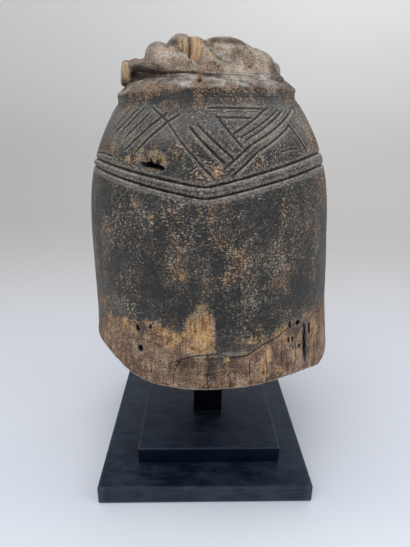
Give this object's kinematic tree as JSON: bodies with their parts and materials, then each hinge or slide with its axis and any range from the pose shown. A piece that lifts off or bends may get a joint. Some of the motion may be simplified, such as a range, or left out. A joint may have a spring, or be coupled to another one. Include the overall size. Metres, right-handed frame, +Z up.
{
  "type": "helmet mask on stand",
  "caption": "Hollow carved wooden helmet mask with a cut lattice band and a worn, broken crest, resting on the square post of a stepped black stand.",
  "frame": {"origin": "centre of the underside of the stand's lower board, on the surface that it stands on", "axes": "+Z up, +Y the way the mask's face looks, -Y the carved back of the head, +X to the right as the back is seen"},
  "size_m": [0.2898, 0.3113, 0.5027],
  "materials": {
    "patinated_wood": "old carved wood with a dark, worn and cracked patina, bare brown near the rim",
    "black_stand": "wood painted satin black, a little dusty"
  },
  "bodies": {
    "root": {"mask": "patinated_wood", "stand_lower_plate": "black_stand", "stand_upper_plate": "black_stand", "stand_post": "black_stand"}
  },
  "joints": []
}
